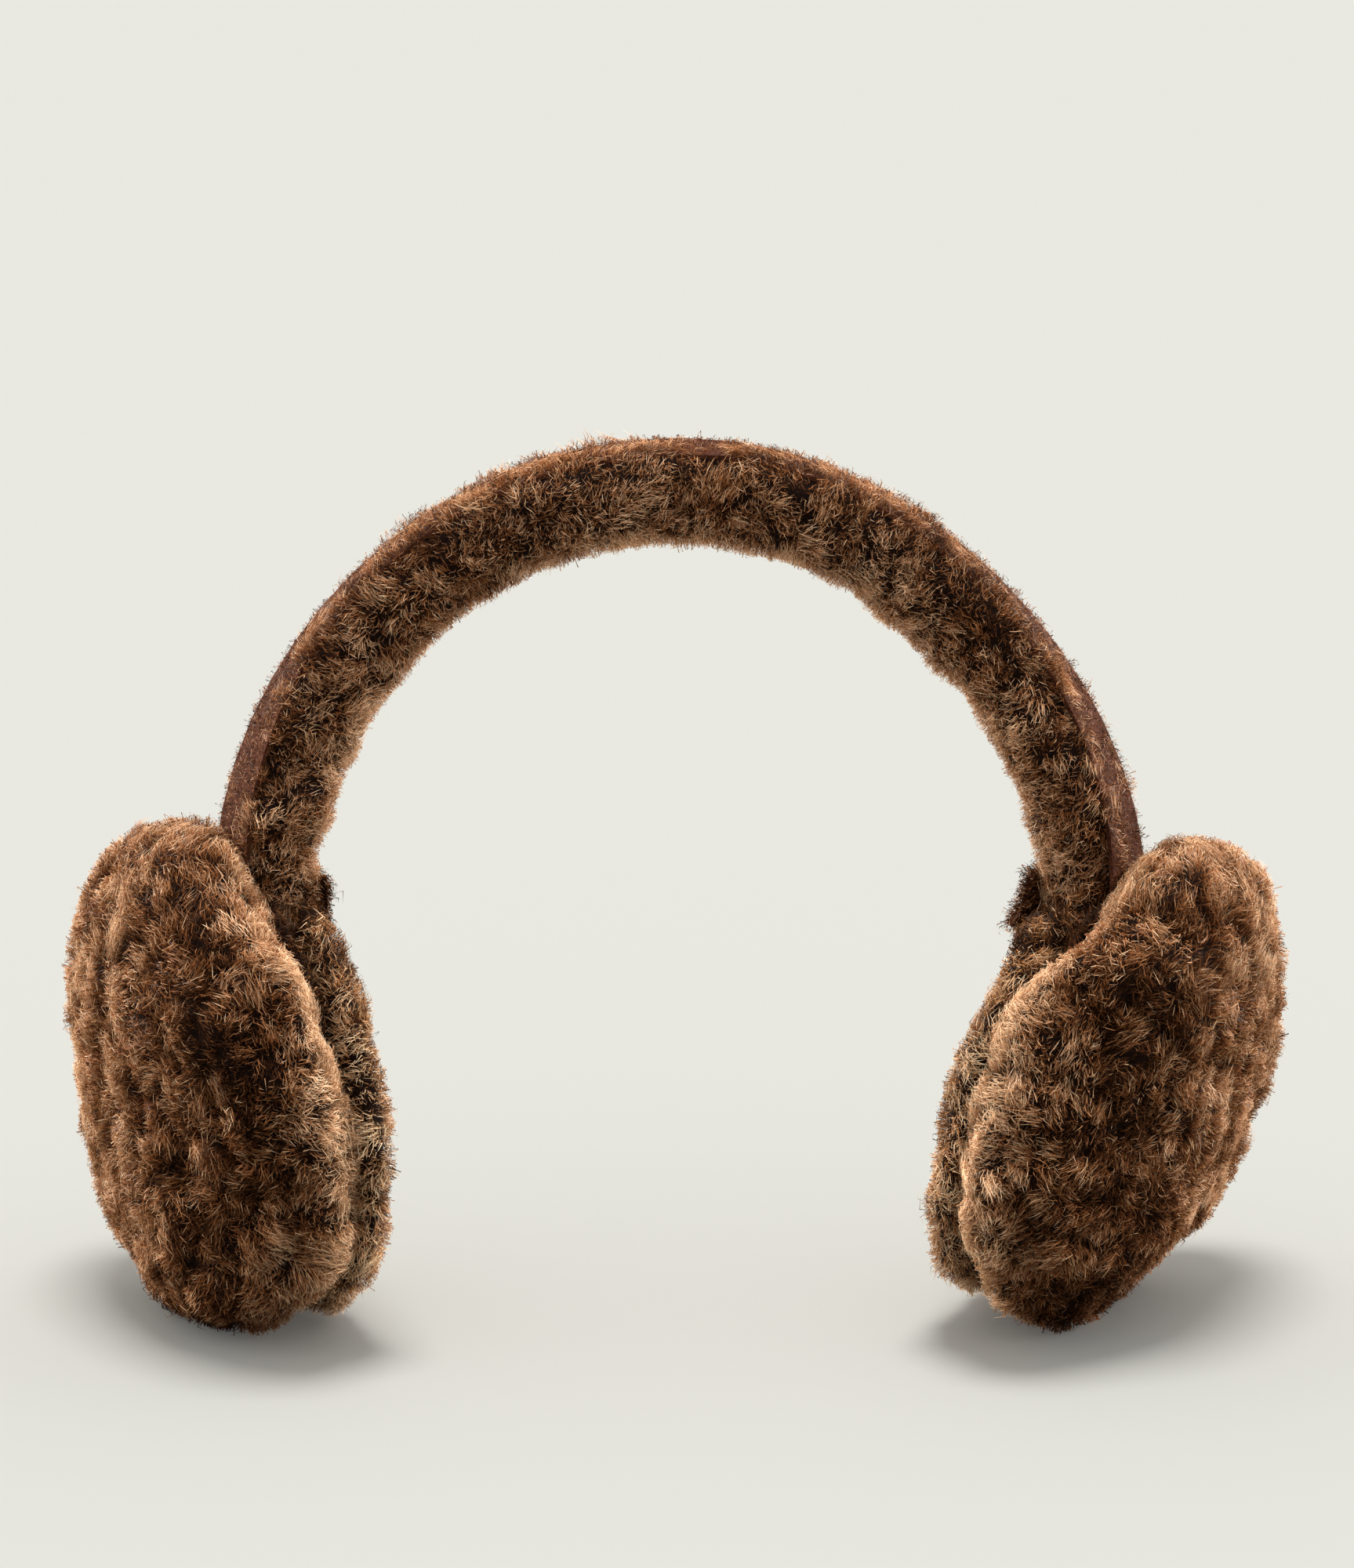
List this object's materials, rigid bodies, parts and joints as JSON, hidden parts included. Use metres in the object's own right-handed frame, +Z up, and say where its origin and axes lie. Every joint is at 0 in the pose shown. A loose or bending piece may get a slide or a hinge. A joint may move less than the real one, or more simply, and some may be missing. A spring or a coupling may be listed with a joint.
{
  "type": "fur earmuffs",
  "caption": "Fur earmuffs: a fur headband with a suede outer strip arches between round fur ear cups, standing on the cups.",
  "frame": {"origin": "on the floor that the cups stand on, below the middle of the box around the pair", "axes": "+X from the left cup to the right cup as seen from the front, -Y to the front, +Z up through the top of the headband"},
  "size_m": [0.2664, 0.1068, 0.1895],
  "materials": {
    "fur": "long soft pile, lighter at the tips",
    "inner_fur": "shorter soft pile",
    "suede": "matt, short nap",
    "seam_suede": "matt, dark, short nap"
  },
  "bodies": {
    "root": {"headband_fur": "fur", "headband_suede": "suede", "left_outer_pad": "fur", "right_outer_pad": "fur", "left_inner_pad": "inner_fur", "right_inner_pad": "inner_fur", "left_seam": "seam_suede", "right_seam": "seam_suede", "left_neck_fold": "suede", "right_neck_fold": "suede"}
  },
  "joints": []
}
